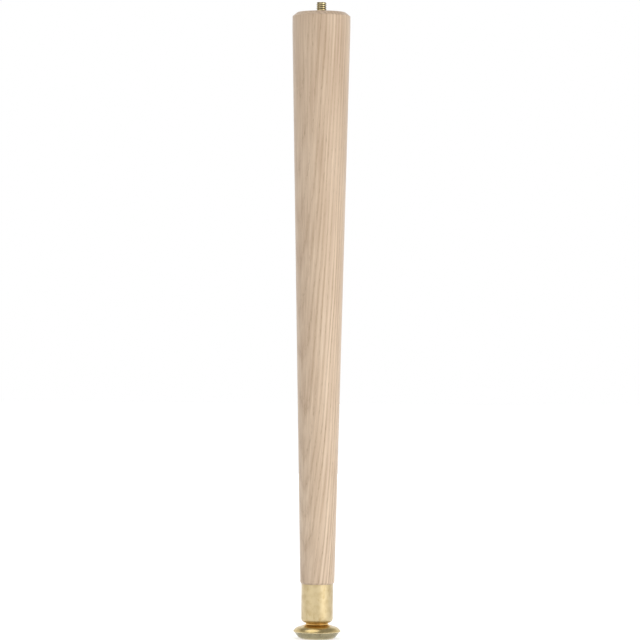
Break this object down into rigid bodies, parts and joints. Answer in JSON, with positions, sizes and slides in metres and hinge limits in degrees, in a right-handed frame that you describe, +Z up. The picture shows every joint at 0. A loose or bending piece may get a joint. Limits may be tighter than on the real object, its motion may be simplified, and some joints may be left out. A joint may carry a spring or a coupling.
{
  "type": "table leg",
  "caption": "Round tapered wooden table leg with a brass ferrule, a self-levelling swivel foot, and a hanger bolt standing on its flat top.",
  "frame": {"origin": "centre of the leg's flat top, where the hanger bolt leaves the wood", "axes": "+Z up along the hanger bolt; the leg hangs along -Z and is round about Z"},
  "size_m": [0.0376, 0.0376, 0.413],
  "materials": {
    "ash_wood": "fine straight-grained ash under a satin clear lacquer",
    "plated_bolt": "yellow zinc plated steel",
    "ferrule_brass": "drawn brass, satin and lacquered",
    "foot_brass": "turned brass, satin and lacquered",
    "swivel_steel": "plain bright steel"
  },
  "bodies": {
    "leg": {"wood_leg": "ash_wood", "hanger_bolt": "plated_bolt", "ferrule": "ferrule_brass"},
    "washer": {"swivel_washer": "swivel_steel"},
    "rivet": {"swivel_rivet": "swivel_steel"},
    "foot": {"foot_shell": "foot_brass", "foot_base": "foot_brass"}
  },
  "joints": [
    {"name": "tilt_x", "type": "hinge", "parent": "leg", "child": "washer", "pos_m": [0, 0, -0.3999], "axis": [1, 0, 0], "range_deg": [-6, 6]},
    {"name": "tilt_y", "type": "hinge", "parent": "washer", "child": "rivet", "pos_m": [0, 0, -0.3999], "axis": [0, 1, 0], "range_deg": [-6, 6]},
    {"name": "foot_spin", "type": "hinge", "parent": "rivet", "child": "foot", "pos_m": [0, 0, -0.3999], "axis": [0, 0, 1], "continuous": true}
  ]
}
